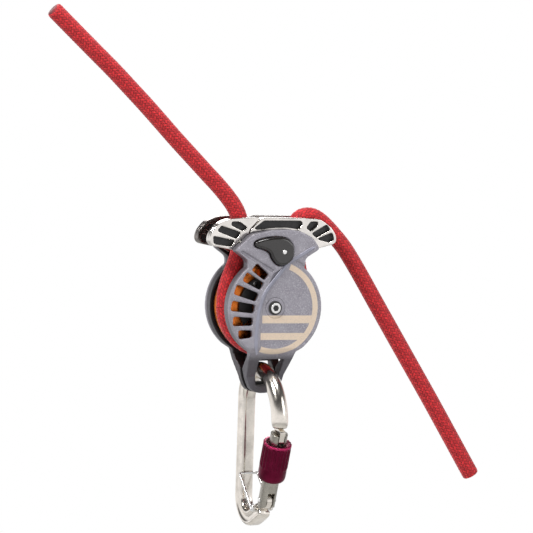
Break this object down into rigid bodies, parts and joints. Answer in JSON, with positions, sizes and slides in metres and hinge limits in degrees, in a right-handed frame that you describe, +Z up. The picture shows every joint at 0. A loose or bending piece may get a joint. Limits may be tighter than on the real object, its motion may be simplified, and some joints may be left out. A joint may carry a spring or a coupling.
{
  "type": "self-locking rope belay device",
  "caption": "Self-locking rope device with a grooved wheel between two side plates, polished rope guides, latch button, its rope and a screw-gate carabiner.",
  "frame": {"origin": "centre of the rope wheel on the mid-plane between the two side plates", "axes": "+Z up, +Y back along the wheel's axle, +X to the right as seen from the latch button's side"},
  "size_m": [0.2762, 0.063, 0.3131],
  "materials": {
    "cast_grey": "satin",
    "polished_alloy": "polished",
    "wheel_orange": "anodised satin",
    "black_gloss": "gloss",
    "black_matt": "matt",
    "bright_steel": "satin",
    "dark_steel": "blackened",
    "rope_red": "woven sheath",
    "carabiner_alloy": "polished",
    "sleeve_burgundy": "anodised"
  },
  "bodies": {
    "frame": {"rear_plate": "cast_grey", "rear_guide_left": "polished_alloy", "rear_guide_right": "polished_alloy", "rear_guide_screws": "bright_steel", "main_axle": "bright_steel", "axle_nut": "bright_steel", "axle_screw": "bright_steel", "axle_washer": "dark_steel", "latch_post": "bright_steel", "rope_wrap": "rope_red", "rope_left": "rope_red", "rope_right": "rope_red"},
    "front_side": {"front_plate": "cast_grey", "front_bush": "dark_steel", "front_guide_left": "polished_alloy", "front_guide_right": "polished_alloy", "front_guide_screws": "bright_steel"},
    "latch": {"latch_button": "black_gloss", "button_pin": "bright_steel", "button_spring": "bright_steel"},
    "wheel": {"wheel_rim": "wheel_orange", "wheel_cover": "black_matt", "wheel_bearings": "bright_steel", "pawl_pins": "bright_steel"},
    "first_pawl": {"pawl_1": "dark_steel"},
    "second_pawl": {"pawl_2": "dark_steel"},
    "third_pawl": {"pawl_3": "dark_steel"},
    "brake": {"brake_cam": "dark_steel", "ratchet_ring": "dark_steel", "brake_shoes": "dark_steel", "cam_spring": "bright_steel"},
    "carabiner": {"carabiner_body": "carabiner_alloy", "gate_pin": "bright_steel"},
    "gate": {"gate_tube": "bright_steel", "gate_plunger": "bright_steel"},
    "thread_ring": {"sleeve_ring": "black_matt"},
    "sleeve": {"lock_sleeve": "sleeve_burgundy"},
    "keeper": {"keeper_wire": "bright_steel"}
  },
  "joints": [
    {"name": "front_plate_play", "type": "hinge", "parent": "frame", "child": "front_side", "pos_m": [0, 0, 0], "axis": [0, 1, 0], "range_deg": [-0.5, 0.5]},
    {"name": "button_press", "type": "slide", "parent": "front_side", "child": "latch", "axis": [0, 1, 0], "range_m": [0, 0.0018], "stiffness_N_per_m": 600, "springref_m": -0.001},
    {"name": "wheel_spin", "type": "hinge", "parent": "frame", "child": "wheel", "pos_m": [0, 0, 0], "axis": [0, 1, 0], "continuous": true},
    {"name": "pawl_1_swing", "type": "hinge", "parent": "wheel", "child": "first_pawl", "pos_m": [-0.00869, 0, 0.01391], "axis": [0, 1, 0], "range_deg": [0, 8], "stiffness_Nm_per_rad": 0.004, "springref_deg": -5.73},
    {"name": "pawl_2_swing", "type": "hinge", "parent": "wheel", "child": "second_pawl", "pos_m": [-0.0077, 0, -0.01448], "axis": [0, 1, 0], "range_deg": [0, 8], "stiffness_Nm_per_rad": 0.004, "springref_deg": -5.73},
    {"name": "pawl_3_swing", "type": "hinge", "parent": "wheel", "child": "third_pawl", "pos_m": [0.01639, 0, 0.00057], "axis": [0, 1, 0], "range_deg": [0, 8], "stiffness_Nm_per_rad": 0.004, "springref_deg": -5.73},
    {"name": "brake_swing", "type": "hinge", "parent": "frame", "child": "brake", "pos_m": [0, 0, 0], "axis": [0, 1, 0], "range_deg": [-3, 3], "stiffness_Nm_per_rad": 0.5},
    {"name": "carabiner_swing", "type": "hinge", "parent": "frame", "child": "carabiner", "pos_m": [0, 0, -0.039], "axis": [0, 1, 0], "range_deg": [-25, 25]},
    {"name": "gate_open", "type": "hinge", "parent": "carabiner", "child": "gate", "pos_m": [0, -0.0055, -0.1142], "axis": [-1, 0, 0], "range_deg": [0, 20], "stiffness_Nm_per_rad": 0.06, "springref_deg": -17.19},
    {"name": "sleeve_slide", "type": "slide", "parent": "gate", "child": "thread_ring", "axis": [0, 0.4008, -0.9162], "range_m": [-0.007, 0]},
    {"name": "sleeve_turn", "type": "hinge", "parent": "thread_ring", "child": "sleeve", "pos_m": [0, -0.0055, -0.1142], "axis": [0, 0.4008, -0.9162], "range_deg": [-725, 0]},
    {"name": "keeper_swing", "type": "hinge", "parent": "carabiner", "child": "keeper", "pos_m": [0, 0.0028, -0.1214], "axis": [1, 0, 0], "range_deg": [0, 20], "stiffness_Nm_per_rad": 0.01, "springref_deg": -17.19}
  ],
  "couplings": [
    {"joint": "pawl_2_swing", "follows": "pawl_1_swing", "ratio": 1},
    {"joint": "pawl_3_swing", "follows": "pawl_1_swing", "ratio": 1},
    {"joint": "sleeve_turn", "follows": "sleeve_slide", "rad_per_m": 1795.2}
  ]
}
